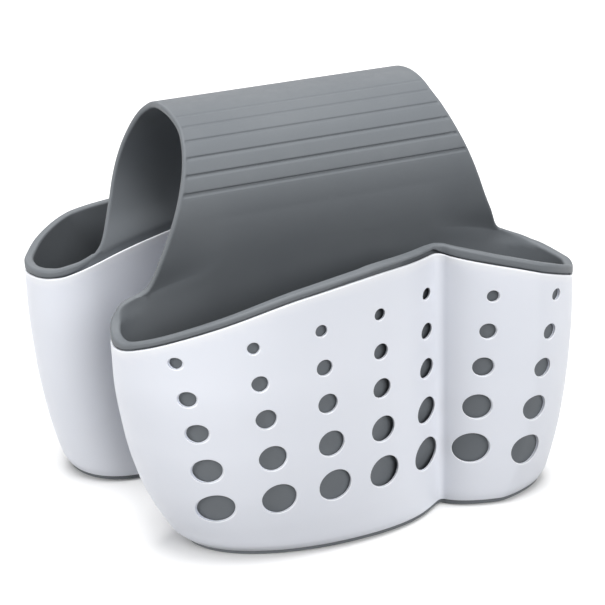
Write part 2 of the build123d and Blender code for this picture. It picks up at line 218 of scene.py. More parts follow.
def plan_at(u, ctl):
    u = np.mod(u, 7.0)
    i = np.minimum(u.astype(int), 6)
    t = (u - i)[:, None]
    q = ctl[np.arange(len(u)), i]
    return ((1 - t) ** 3 * q[:, 0] + 3 * t * (1 - t) ** 2 * q[:, 1] + 3 * t * t * (1 - t) * q[:, 2] + t ** 3 * q[:, 3])


def plan(u, z, off, soft=0.0, crease=2.4):
    """Point of the outline at parameter u and height z, moved inwards by off.
    The crease between the lobes is eased over `crease` mm to each side."""
    u = np.atleast_1d(np.asarray(u, float)).ravel()
    z = np.broadcast_to(np.asarray(z, float), u.shape)
    off = np.broadcast_to(np.asarray(off, float), u.shape)
    crease = np.broadcast_to(np.asarray(crease, float), u.shape)
    ctl = controls(z, off, soft)
    p = plan_at(u, ctl)
    a, b = crease / 29.0, crease / 31.0
    um = np.mod(u, 7.0)
    m = (um > 3 - a) & (um < 3 + b)
    if m.any():
        c, a, b = ctl[m], a[m], b[m]
        p0 = plan_at(3 - a, c)
        p1 = plan_at(np.full(len(a), 3.0), c)
        p2 = plan_at(3 + b, c)
        t = ((um[m] - 3 + a) / (a + b))[:, None]
        p[m] = (1 - t) ** 2 * p0 + 2 * t * (1 - t) * p1 + t * t * p2
    return p


# arc coordinate: sigma runs round the loop, from the middle of the inner wall
_u = np.linspace(-0.5, 6.5, 5601)
_p = plan(_u, 70.0, 0.0)
_s = np.r_[0, np.cumsum(np.hypot(*np.diff(_p, axis=0).T))]
LOOP = float(_s[-1])


def u_of(sigma):
    return np.interp(sigma, _s, _u)


def s_of(u):
    return np.interp(u, _u, _s)


def front_u(x, z):
    """Parameter of the outer wall's point at x, by bisection."""
    lo, hi = np.full(len(x), 1.0), np.full(len(x), 5.0)
    for _ in range(36):
        mid = (lo + hi) / 2
        left = plan(mid, z, 0.0)[:, 0] < x
        lo, hi = np.where(left, mid, lo), np.where(left, hi, mid)
    return (lo + hi) / 2


# ------------------------------------------------------------------ mesh store
class Geo:
    def __init__(self):
        self.p, self.n, self.w, self.f, self.k = [], [], [], [], 0

    def add(self, p, n, faces, wear_and_highlight=0.0):
        p = np.asarray(p, float)
        n = np.asarray(n, float)
        n = n / np.maximum(np.linalg.norm(n, axis=1), 1e-9)[:, None]
        w = np.broadcast_to(np.asarray(wear_and_highlight, float), (len(p),))
        ok = []
        for f in faces:
            a, b, c = p[f[0]], p[f[1]], p[f[2]]
            g = np.cross(b - a, c - a)
            if len(f) == 4:
                g = g + np.cross(c - a, p[f[3]] - a)
            ok.append(tuple(f) if g @ (n[f[0]] + n[f[1]] + n[f[2]]) >= 0 else tuple(f[::-1]))
        self.f += [tuple(i + self.k for i in f) for f in ok]
        self.p.append(p)
        self.n.append(n)
        self.w.append(w)
        self.k += len(p)

    def grid(self, p, n, wear_and_highlight=0.0, closed=False):
        """p, n: (rows, cols, 3); closed joins the last column to the first."""
        r, c = p.shape[:2]
        faces = []
        for i in range(r - 1):
            for j in range(c if closed else c - 1):
                j2 = (j + 1) % c
                faces.append((i * c + j, i * c + j2, (i + 1) * c + j2, (i + 1) * c + j))
        w = np.broadcast_to(np.asarray(wear_and_highlight, float), (r, c)).reshape(-1) if np.ndim(wear_and_highlight) else wear_and_highlight
        self.add(p.reshape(-1, 3), n.reshape(-1, 3), faces, w)

    def build(self, name, turn=False, only=None):
        p, n, w = np.vstack(self.p), np.vstack(self.n), np.concatenate(self.w)
        faces = self.f if only is None else only
        key = np.round(np.c_[p * 2000, n * 40]).astype(np.int64)
        _, first, inv = np.unique(key, axis=0, return_index=True, return_inverse=True)
        inv = inv.ravel()
        out = []
        for f in faces:
            g = []
            for i in f:
                v = int(inv[i])
                if v not in g:
                    g.append(v)
            if len(g) >= 3:
                out.append(g)
        p, n, w = p[first], n[first], w[first]
        used = np.zeros(len(p), bool)
        for g in out:
            used[g] = True
        new = np.cumsum(used) - 1
        out = [[int(new[i]) for i in g] for g in out]
        p, n, w = p[used], n[used], w[used]
        if turn:
            p, n = p * [-1, -1, 1], n * [-1, -1, 1]
        mesh = bpy.data.meshes.new(name)
        mesh.from_pydata((p * 0.001).tolist(), [], out)
        mesh.update()
        mesh.polygons.foreach_set("use_smooth", [True] * len(mesh.polygons))
        # per-vertex edge mask for the materials: it lightens the colour at rims, beads and bevels, partly rubbed wear
        # and partly painted highlight
        att = mesh.attributes.new("wear_and_highlight", "FLOAT", "POINT")
        att.data.foreach_set("value", w.astype(np.float32))
        mesh.normals_split_custom_set_from_vertices(n.tolist())
        obj = bpy.data.objects.new(name, mesh)
        bpy.context.scene.collection.objects.link(obj)
        return obj


def grid_normals(p, closed=False):
    """Normals of a (rows, cols, 3) grid of points by differences."""
    if closed:
        q = np.concatenate([p[:, -1:], p, p[:, :1]], axis=1)
        dc = (q[:, 2:] - q[:, :-2])
    else:
        dc = np.gradient(p, axis=1)
    dr = np.gradient(p, axis=0)
    return np.cross(dr, dc)


def triangulate(points, loops, keep=None):
    """Constrained triangulation; loops are closed index lists. keep(centres)
    says which triangles stay."""
    edges = []
    for lp, closed in loops:
        edges += [(lp[i], lp[i + 1]) for i in range(len(lp) - 1)]
        if closed:
            edges.append((lp[-1], lp[0]))
    v, e, f, ov, oe, of = delaunay_2d_cdt([Vector(q) for q in points], edges, [], 0, 1e-5)
    pts = np.array([tuple(q) for q in v])
    tri = np.array([list(t) for t in f])
    c = pts[tri].mean(axis=1)
    if keep is not None:
        tri = tri[keep(c)]
    return pts, tri


def in_poly(q, poly):
    """Which of the points q are inside a closed polygon."""
    x, y = q[:, 0], q[:, 1]
    res = np.zeros(len(q), bool)
    x1, y1 = poly[:, 0], poly[:, 1]
    x2, y2 = np.roll(x1, -1), np.roll(y1, -1)
    for a, b, c, d in zip(x1, y1, x2, y2):
        if b == d:
            continue
        hit = ((b > y) != (d > y)) & (x < (c - a) * (y - b) / (d - b) + a)
        res ^= hit
    return res


# ------------------------------------------------------------------ rigid shell
HOLES = []
for _c in range(7):
    for _r in range(5):
        HOLES.append((HOLE_X[_c][_r], HOLE_Z[_c][_r], HOLE_R[_r]))
LIP = 0.28


def shell_point(sigma, z, off):
    q = plan(u_of(sigma), z, off)
    return np.c_[q[:, 0], -q[:, 1], z]


def shell_normal(sigma, z, off, sign=1.0):
    e = 0.15
    ds = shell_point(sigma + e, z, off) - shell_point(sigma - e, z, off)
    dz = shell_point(sigma, z + e, off) - shell_point(sigma, z - e, off)
    n = np.cross(ds, dz)
    return n * (sign / np.linalg.norm(n, axis=1))[:, None]


def make_shell():
    geo = Geo()
    ns = 520
    sg = np.linspace(0, LOOP, ns + 1)
    uu = u_of(sg)
    zt = np.full(ns + 1, 100.0)
    for _ in range(8):
        q = plan(uu, zt, 0.0)
        zt = rim_z(q[:, 0], q[:, 1])
    top_out = zt - 0.6
    z_low = 2.5
    # hole rings in the (sigma, z) plane
    rings = []
    for xc, zc, r in HOLES:
        n = 28 if r < 3.4 else 40 if r < 5 else 56
        th = np.arange(n) * 2 * math.pi / n
        rings.append((xc, zc, r, th))

    def ring_sz(xc, zc, r, th, rad):
        x, z = xc + rad * np.cos(th), zc + rad * np.sin(th)
        return s_of(front_u(x, z)), z

    def side(off, rim_drop, with_wear):
        top = zt - rim_drop
        pts, loops = [], []
        nb = 36
        left_z = np.linspace(z_low, top[0], nb)
        b = len(pts)
        pts += [(s, z_low) for s in sg]
        b2 = len(pts)
        pts += [(sg[i], top[i]) for i in range(ns + 1)]
        b3 = len(pts)
        pts += [(0.0, z) for z in left_z[1:-1]]
        b4 = len(pts)
        pts += [(LOOP, z) for z in left_z[1:-1]]
        outer = list(range(b, b + ns + 1)) + list(range(b4, b4 + nb - 2)) + list(range(b2 + ns, b2 - 1, -1)) + list(range(b3 + nb - 3, b3 - 1, -1))
        loops.append((outer, True))
        ring_ids = []
        outer_rings = []
        for xc, zc, r, th in rings:
            s, z = ring_sz(xc, zc, r, th, r + LIP if with_wear else r)
            k = len(pts)
            pts += list(zip(s, z))
            loops.append((list(range(k, k + len(th))), True))
            ring_ids.append((k, len(th)))
            outer_rings.append(np.c_[s, z])
            for m, extra in ((0.9, 0), (2.2, 0)):
                s, z = ring_sz(xc, zc, r, th[::2] + (th[1] if m > 1 else 0), r + LIP + m)
                pts += list(zip(s, z))
        # field points
        step = 2.6
        fs, fz = np.meshgrid(np.arange(step / 2, LOOP, step), np.arange(z_low + 1.0, 112, 2.4))
        fz = fz.ravel() + 0.0
        fs = fs.ravel()
        lim = np.interp(fs, sg, top)
        ok = fz < lim - 1.2
        fs, fz = fs[ok], fz[ok]
        x = plan(u_of(fs), fz, 0.0)[:, 0]
        front = (u_of(fs) > 1.0) & (u_of(fs) < 5.0)
        ok = np.ones(len(fs), bool)
        for xc, zc, r, th in rings:
            ok &= ~(front & (np.hypot(x - xc, fz - zc) < r + LIP + 3.0))
        pts += list(zip(fs[ok], fz[ok]))
        # extra columns in the crease, where the wall turns fast
        sc = s_of(3.0)
        for ds in np.r_[-6, -5, -4, -3.2, np.arange(-2.5, 2.6, 0.5), 3.2, 4, 5, 6]:
            for z in np.arange(z_low + 2, 108, 2.4):
                xq = float(plan(np.array([u_of(sc + ds)]), z, 0.0)[0, 0])
                if all(math.hypot(xq - h[0], z - h[1]) > h[2] + LIP + 1.4 for h in rings) and z < np.interp(sc + ds, sg, top) - 1:
                    pts.append((sc + ds, z))
        pts = np.array(pts)

        def keep(c):
            m = np.ones(len(c), bool)
            for q in outer_rings:
                near = np.abs(c[:, 0] - q[:, 0].mean()) < 14
                idx = np.where(near)[0]
                m[idx[in_poly(c[idx], q)]] = False
            m &= c[:, 1] < np.interp(c[:, 0], sg, top) + 1e-4
            return m

        v, tri = triangulate(pts, loops, keep)
        return v, tri

    # outer face
    v, tri = side(0.0, 0.6, True)
    p = shell_point(v[:, 0], v[:, 1], 0.0)
    n = shell_normal(v[:, 0], v[:, 1], 0.0)
    # edge mask, 1 at the rim and fading over 3 mm down the wall: it makes the colour lighter there, as rubbed wear and
    # as a painted highlight along the rim's edge
    w = smooth(1 - (np.interp(v[:, 0], sg, top_out) - v[:, 1]) / 3.0)
    geo.add(p, n, tri.tolist(), w)
    # inner face
    vi, tri = side(WALL, 0.6, False)
    p = shell_point(vi[:, 0], vi[:, 1], WALL)
    n = shell_normal(vi[:, 0], vi[:, 1], WALL, -1.0)
    geo.add(p, n, tri.tolist(), 0.0)
    # hole lips and walls
    phis = np.linspace(0, math.pi / 2, 5)
    for xc, zc, r, th in rings:
        rows, norms, wear_and_highlight = [], [], []
        rad = np.c_[np.cos(th), np.zeros(len(th)), np.sin(th)]
        for ph in phis:
            rr = r + LIP * (1 - math.sin(ph))
            dep = LIP * (1 - math.cos(ph))
            s, z = ring_sz(xc, zc, r, th, rr)
            q = shell_point(s, z, 0.0)
            nn = shell_normal(s, z, 0.0)
            q[:, 1] += dep
            rows.append(q)
            norms.append(nn * math.cos(ph) - rad * math.sin(ph))
            # edge mask round the hole's bevel, strongest mid-bevel: lighter colour there as rubbed wear and as a
            # painted highlight ring
            wear_and_highlight.append(np.full(len(th), math.sin(2 * ph) * 0.8 + 0.2))
        s, z = ring_sz(xc, zc, r, th, r)
        inner = shell_point(s, z, WALL)
        # the hole runs straight along Y, so the inner rim keeps x and z
        ui = u_of(s)
        for _ in range(12):
            err = rows[-1][:, 0] - plan(ui, z, WALL)[:, 0]
            ui = ui + err * 0.02
        qi = plan(ui, z, WALL)
        inner = np.c_[rows[-1][:, 0], -qi[:, 1], z]
        for t in (0.33, 0.66, 1.0):
            rows.append(rows[len(phis) - 1] * (1 - t) + inner * t)
            norms.append(-rad)
            wear_and_highlight.append(np.zeros(len(th)))
        geo.grid(np.array(rows), np.array(norms), np.array(wear_and_highlight), closed=True)
    # top edge
    sec = [(0.6 - 0.6 * math.cos(a), -0.6 + 0.6 * math.sin(a)) for a in np.linspace(0, math.pi / 2, 6)]
    sec += [(WALL - 0.5 + 0.5 * math.sin(a), -0.5 + 0.5 * math.cos(a)) for a in np.linspace(0, math.pi / 2, 5)]
    rows = np.array([shell_point(sg, zt + dz, o) for o, dz in sec])
    na = [(-math.cos(a), math.sin(a)) for a in np.linspace(0, math.pi / 2, 6)] + [(math.sin(a), math.cos(a)) for a in np.linspace(0, math.pi / 2, 5)]
    base = shell_normal(sg, zt - 0.7, 0.0)
    up = np.array([0, 0, 1.0])
    tang = np.gradient(rows[5], axis=0)
    tang /= np.linalg.norm(tang, axis=1)[:, None]
    upn = up - tang * (tang @ up)[:, None]
    upn /= np.linalg.norm(upn, axis=1)[:, None]
    norms = np.array([base * -a + upn * b for a, b in na])
    # the rounded top edge carries 0.8 of the edge mask: lighter colour, rubbed wear plus painted highlight
    geo.grid(rows, norms, 0.8)
    # bottom edge
    rows, norms = [], []
    b0 = shell_normal(sg, np.full(len(sg), 2.6), 0.0)
    for a in np.linspace(0, math.pi / 2, 5):
        o, z = 0.5 - 0.5 * math.cos(a), 2.5 - 0.5 * math.sin(a)
        q = plan(u_of(sg), 2.5, o)
        rows.append(np.c_[q[:, 0], -q[:, 1], np.full(len(sg), z)])
        norms.append(b0 * math.cos(a) - up * math.sin(a))
    for o, z, c in ((0.9, 2.0, 1.0), (1.1, 2.06, 0.7), (WALL, 2.2, 0.0), (WALL, 2.5, 0.0)):
        q = plan(u_of(sg), 2.5, o)
        rows.append(np.c_[q[:, 0], -q[:, 1], np.full(len(sg), z)])
        norms.append(-b0 * math.sqrt(1 - c * c) - up * c)
    # bottom edge: half the edge mask, lighter colour as wear plus painted highlight
    geo.grid(np.array(rows), np.array(norms), 0.5)
    return geo


# ------------------------------------------------------------------ soft moulding
# base profile of the band's face that looks at the divider, from low to crown
_by = np.array([q[0] for q in BAND[::-1]])
_bz = np.array([q[1] for q in BAND[::-1]])
_ch = np.r_[0, np.cumsum(np.hypot(np.diff(_by), np.diff(_bz)))]
_sy = Spline(_ch, _by, 0.0, -1.0)
_sz = Spline(_ch, _bz, 1.0, 0.0)
_tt = np.linspace(0, _ch[-1], 4001)
_yy, _zz = _sy(_tt), _sz(_tt)
_arc = 82.0 + np.r_[0, np.cumsum(np.hypot(np.diff(_yy), np.diff(_zz)))]
B_END = float(_arc[-1])
B_K = [float(np.interp(_ch[len(BAND) - 1 - k], _tt, _arc)) for k in range(len(BAND))]   # b at control point k
B_NECK, B_BULGE = B_K[9], B_K[6]
Z_NECK, Z_BULGE = BAND[9][1], BAND[6][1]
ROOT_Y = BAND[6][0] + BAND_T


def base_y(b):
    return np.where(b < 82, 22.0, np.interp(b, _arc, _yy))


def base_z(b):
    return np.where(b < 82, b, np.interp(b, _arc, _zz))


def neck_z(x):
    return np.maximum(Z_NECK, rim_z(x, 23.0) + FLANGE + 0.2)


O_OFF = WALL + CLEAR
I_OFF = O_OFF + LINER_T


def inner_side(u):
    return (u < 0.75) | (u > 5.25)


def profile(x, b, inner):
    """(y of the divider-side face, z) at x and b."""
    z0 = base_z(b)
    zn = np.where(inner, neck_z(x), Z_NECK)
    shift = zn - Z_NECK
    z = np.where(z0 > Z_NECK, Z_BULGE - (Z_BULGE - z0) * (Z_BULGE - zn) / (Z_BULGE - Z_NECK), z0 + shift * smooth((b - 30) / 55.0))
    z = np.where((z0 > Z_BULGE - 1e-9) | (b > B_BULGE), z0, z)
    z = np.where(inner, z, b)
    s = np.where(b > B_NECK, base_y(b) - base_y(np.array([B_NECK]))[0], 0.0)
    w = smooth((Z_BULGE - z0) / (Z_BULGE - Z_NECK))
    w = np.where(b > B_BULGE, 0.0, w)
    v = smooth((b - 94.0) / 6.0)
    y = 22.3 + s + NECK_SHIFT * ((1 - v) + v * w)
    return np.where(inner, y, GAP + O_OFF), z


def ease(z):
    """How far the soft wall eases the crease at height z."""
    return smooth((104.0 - z) / 10.0)


def outer_plan(u, z):
    k = ease(z)
    return plan(u, z, O_OFF, 0.1 + 0.9 * k, 3.2 + 1.6 * k)


def inner_plan(u, z):
    k = ease(z)
    return plan(u, z, I_OFF, 0.5 + 0.8 * k, 5.0 + 3.0 * k)


def sheet(sigma, b, off):
    """Point of the soft sheet: off = O_OFF is the face towards the divider and
    the shell, off = I_OFF the face inside the pocket and on the band's outside."""
    sigma, b = np.asarray(sigma, float), np.asarray(b, float)
    off = np.broadcast_to(np.asarray(off, float), sigma.shape)
    u = u_of(sigma)
    inner = inner_side(u)
    zc = np.where(inner, np.minimum(b, 95.0), b)
    x = outer_plan(u, zc)[:, 0]
    y1, z1 = profile(x, b, inner)
    zc = np.where(inner, np.minimum(z1, 95.0), z1)
    qo = outer_plan(u, zc)
    qi = inner_plan(u, zc)
    e = 0.2
    ya, za = profile(x, b - e, inner)
    yb, zb = profile(x, np.minimum(b + e, B_END), inner)
    dy, dz = yb - ya, zb - za
    m = np.hypot(dy, dz) + 1e-12
    ny, nz = dz / m, -dy / m
    thick = LINER_T + (BAND_T - LINER_T) * smooth((b - 98) / 16.0)
    lift = y1 - (GAP + O_OFF)
    po = np.c_[qo[:, 0], -(qo[:, 1] + lift), z1]
    ex_y = np.where(inner, thick * ny - LINER_T, 0.0)
    ex_z = np.where(inner, thick * nz, 0.0)
    yi, zi = qi[:, 1] + lift + ex_y, z1 + ex_z
    # the band's root is thick: its outside flows down into the pocket's wall
    flow = GAP + I_OFF + (ROOT_Y - GAP - I_OFF) * smooth((zi - 76.0) / (Z_BULGE - 76.0))
    near = smooth((75.0 - 0.28 * (b - 100.0) - np.abs(x)) / 32.0)
    root = np.where(inner & (b < B_BULGE), near * np.maximum(0.0, flow - yi), 0.0)
    pi = np.c_[qi[:, 0], -(yi + root), zi]
    # the band's faces share x
    k = np.where(inner, smooth((b - 92.0) / 6.0), 0.0)
    pi[:, 0] = pi[:, 0] * (1 - k) + po[:, 0] * k
    f = ((off - O_OFF) / LINER_T)[:, None]
    return po + (pi - po) * f


# free edge of the sheet, in the (sigma, b) plane
def sigma_inner(x, side):
    """sigma of the inner wall's point at x; side 0 left part, 1 right part."""
    if side == 0:
        us = np.linspace(-0.5, 1.0, 900)
    else:
        us = np.linspace(5.0, 6.5, 900)
    xs = outer_plan(us, np.full(len(us), 92.0))[:, 0]
    order = np.argsort(xs)
    return float(np.interp(x, xs[order], s_of(us)[order]))


GROOVE_B = [float(np.interp(s, range(len(BAND)), B_K)) for s in GROOVE_S]
GROOVE_ROWS = (-1.4, -1.05, -0.78, -0.52, -0.3, -0.14, 0.0, 0.13, 0.27, 0.42, 0.58, 0.95)


def recess(sigma, b):
    u = u_of(sigma)
    x = plan(u, np.minimum(b, 112.0), 0.0)[:, 0]
    return np.where(inner_side(u), 0.0, Mono(RECESS)(x)) * smooth((np.asarray(b, float) - 6.0) / 10.0)


class Rim:
    """The free edge of one half of the soft moulding and what hangs on it."""

    def __init__(self, half_l, low_l, half_r, low_r, rise_r):
        pts = [(sigma_inner(-half_l[k], 0), B_K[k]) for k in range(7)]
        pts += [(sigma_inner(-x, 0), b) for x, b in low_l]
        first = max(pts[-1][0] + 2.6, 84.5)
        last = sigma_inner(low_r[-1][0], 1) - 2.6
        rs = np.linspace(first, last, 110)
        rz = np.full(len(rs), 100.0)
        for _ in range(7):
            q = plan(u_of(rs), rz, 0.0)
            rz = rim_z(q[:, 0], q[:, 1])
        rz = rz + FLANGE + np.where(rs < 200, Mono(RISE_L)(rs), Mono(rise_r)(rs))
        pts += list(zip(rs, rz))
        pts += [(sigma_inner(x, 1), b) for x, b in low_r[::-1]]
        pts += [(sigma_inner(half_r[k], 1), B_K[k]) for k in range(6, -1, -1)]
        pts = np.array(pts)
        ec = np.r_[0, np.cumsum(np.hypot(*np.diff(pts, axis=0).T))]
        es, eb = Mono(list(zip(ec, pts[:, 0]))), Mono(list(zip(ec, pts[:, 1])))
        t = np.linspace(0, ec[-1], 8001)
        fine = np.c_[es(t), eb(t)]
        # ease the small kinks of the line, everywhere but at the ends
        keep = fine.copy()
        for w in (28, 20, 14):
            ker = np.ones(2 * w + 1) / (2 * w + 1)
            pad = np.vstack([fine[:1] - (fine[1:w + 1] - fine[:1])[::-1], fine, fine[-1:] - (fine[-w - 1:-1] - fine[-1:])[::-1]])
            fine = np.c_[np.convolve(pad[:, 0], ker, "valid"), np.convolve(pad[:, 1], ker, "valid")]
        # the crease of the rim stays crisp
        near = smooth(1.5 - np.abs(fine[:, 0] - s_of(3.0)) / 6.0)[:, None]
        fine = fine * (1 - near) + keep * near
        fine[0], fine[-1] = keep[0], keep[-1]
        tan = np.gradient(fine, axis=0)
        tan /= np.linalg.norm(tan, axis=1)[:, None]
        length = np.r_[0, np.cumsum(np.hypot(*np.diff(fine, axis=0).T))]
        cols = list(np.linspace(0, length[-1], 760))
        half = len(fine) // 2
        for part in (slice(0, half), slice(half, None)):
            bb, ll = fine[part, 1], length[part]
            up = bb > 112
            order = np.argsort(bb[up])
            for g in GROOVE_B:
                cols += [float(np.interp(g + d, bb[up][order], ll[up][order])) for d in GROOVE_ROWS if g + d < B_END - 0.1]
        cols = np.array(sorted(cols))
        cols = cols[np.r_[True, np.diff(cols) > 0.045]]
        cols[-1] = length[-1]
        self.n = len(cols)
        self.edge = np.c_[np.interp(cols, length, fine[:, 0]), np.interp(cols, length, fine[:, 1])]
        tq = np.c_[np.interp(cols, length, tan[:, 0]), np.interp(cols, length, tan[:, 1])]
        tq /= np.linalg.norm(tq, axis=1)[:, None]
        self.inward = np.c_[tq[:, 1], -tq[:, 0]]
        if self.inward[self.n // 2, 1] > 0:
            self.inward = -self.inward
        e = self.edge
        self.left = e[:, 0] < LOOP / 2
        self.on_flat = inner_side(u_of(e[:, 0]))
        x = outer_plan(u_of(e[:, 0]), np.minimum(e[:, 1], 95.0))[:, 0]
        # 1 on the pocket's rim, 0 on the band's sides
        f = np.where(self.left, smooth((-72.0 - x) / 9.0), smooth((x - 76.0) / 10.0)) * smooth((102.0 - e[:, 1]) / 3.5)
        self.lip = np.where(self.on_flat, f, 1.0)
        # height of the rim's outer face: down to just above the rigid shell
        q = plan(u_of(e[:, 0]), np.minimum(e[:, 1], 112.0), 0.0)
        gap = NECK + np.where(self.on_flat, 0.0, Mono(GAP_DEEP)(q[:, 0]))
        self.face = np.maximum((e[:, 1] - rim_z(q[:, 0], q[:, 1]) - gap) * np.abs(self.inward[:, 1]), 0.8)
        self.face = np.where(self.lip > 0.01, np.minimum(self.face, 6.5), 2.0)
        self.strip = self.lip * np.maximum(3.6, self.face + 1.0) + (1 - self.lip) * 2.1
        for _ in range(4):
            self.strip[1:-1] = 0.25 * self.strip[:-2] + 0.5 * self.strip[1:-1] + 0.25 * self.strip[2:]

    def at(self, d):
        """The free edge moved inwards by d in the (sigma, b) plane."""
        q = self.edge + self.inward * (np.zeros(self.n) + d)[:, None]
        q[0, 1] = q[-1, 1] = B_END
        return q

    def limits(self, b):
        """Left and right edge of the band at b, as sigma."""
        out = []
        for side in (self.left, ~self.left):
            m = side & (self.edge[:, 1] > 104) & self.on_flat
            o = np.argsort(self.edge[m, 1])
            out.append(np.interp(b, self.edge[m, 1][o], self.edge[m, 0][o]))
        return out

    def groove(self, sigma, b):
        """Depth of the grooves across the band's outside."""
        out = np.zeros_like(b)
        near = b > 112
        if near.any():
            l, r = self.limits(b[near])
            s = sigma[near]
            dist = np.where(s < LOOP / 2, l - s, s - r)
            dep = np.zeros(near.sum())
            for g, d in zip(GROOVE_B, GROOVE_D):
                t = b[near] - g
                dep = np.maximum(dep, d * np.where(t > 0, 1 - smooth(t / 0.58), 1 - smooth(-t / 1.4)))
            out[near] = dep * smooth((dist - GROOVE_STOP) / 1.0)
        return out

    def face_in(self, sigma, b):
        """Inside of the pocket and outside of the band, with its grooves."""
        p = sheet(sigma, b, I_OFF)
        o = sheet(sigma, b, O_OFF)
        d = p - o
        d /= np.linalg.norm(d, axis=1)[:, None]
        return p - d * self.groove(sigma, b)[:, None]

    def face_out(self, sigma, b):
        return sheet(sigma, b, O_OFF + recess(sigma, b))

    def sections(self):
        """Rows (distance from the free edge, off) across the strip, per column."""
        one = np.ones(self.n)
        a = np.linspace(0, math.pi / 2, 7)
        f, sd, fd = self.lip, self.strip, self.face
        r1 = np.minimum(1.1, 0.55 * fd)
        e = self.at(sd)
        rec = recess(e[:, 0], e[:, 1])
        lip = [(sd, I_OFF * one), (sd * 0.68, I_OFF * one), (1.5 * one, I_OFF * one)]
        side = [(sd, I_OFF * one), (1.65 * one, I_OFF * one), (1.25 * one, I_OFF * one)]
        for q in a:
            row = ((R_TOP - R_TOP * math.sin(q)) * one, (I_OFF - R_TOP + R_TOP * math.cos(q)) * one)
            lip.append(row)
            side.append(row)
        lip.append((0 * one, (1.7 + 0.6 * r1 / 1.1)))
        side.append((0 * one, (O_OFF + 1.2) * one))
        for q in a:
            lip.append((r1 - r1 * math.cos(q), 0.15 + r1 - r1 * math.sin(q)))
            side.append(((R_TOP - R_TOP * math.cos(q)) * one, (O_OFF + R_TOP - R_TOP * math.sin(q)) * one))
        lip += [((r1 + fd) / 2, 0.15 * one), (fd * 0.88, 0.17 * one), (fd * 0.97, 0.3 * one), (fd, 0.6 * one),
                (fd, 1.1 * one), (fd, O_OFF + rec), ((fd + sd) / 2, O_OFF + rec), (sd, O_OFF + rec)]
        side += [(R_TOP + (sd - R_TOP) * k / 8.0, O_OFF * one) for k in range(1, 9)]
        return [(l[0] * f + s[0] * (1 - f), l[1] * f + s[1] * (1 - f)) for l, s in zip(lip, side)]


def face_normals(fn, sigma, b, out_sign):
    e = 0.06
    ds = fn(sigma + e, b) - fn(sigma - e, b)
    db = fn(sigma, np.minimum(b + e, B_END)) - fn(sigma, b - e)
    n = np.cross(ds, db)
    n /= np.linalg.norm(n, axis=1)[:, None]
    ref = sheet(sigma, b, I_OFF) - sheet(sigma, b, O_OFF)
    s = np.sign((n * ref).sum(axis=1))
    return n * (s * out_sign)[:, None]


R_TOP = 0.9
Z_BOT_IN = FLOOR_TOP + 4.5
Z_BOT_OUT = 4.4


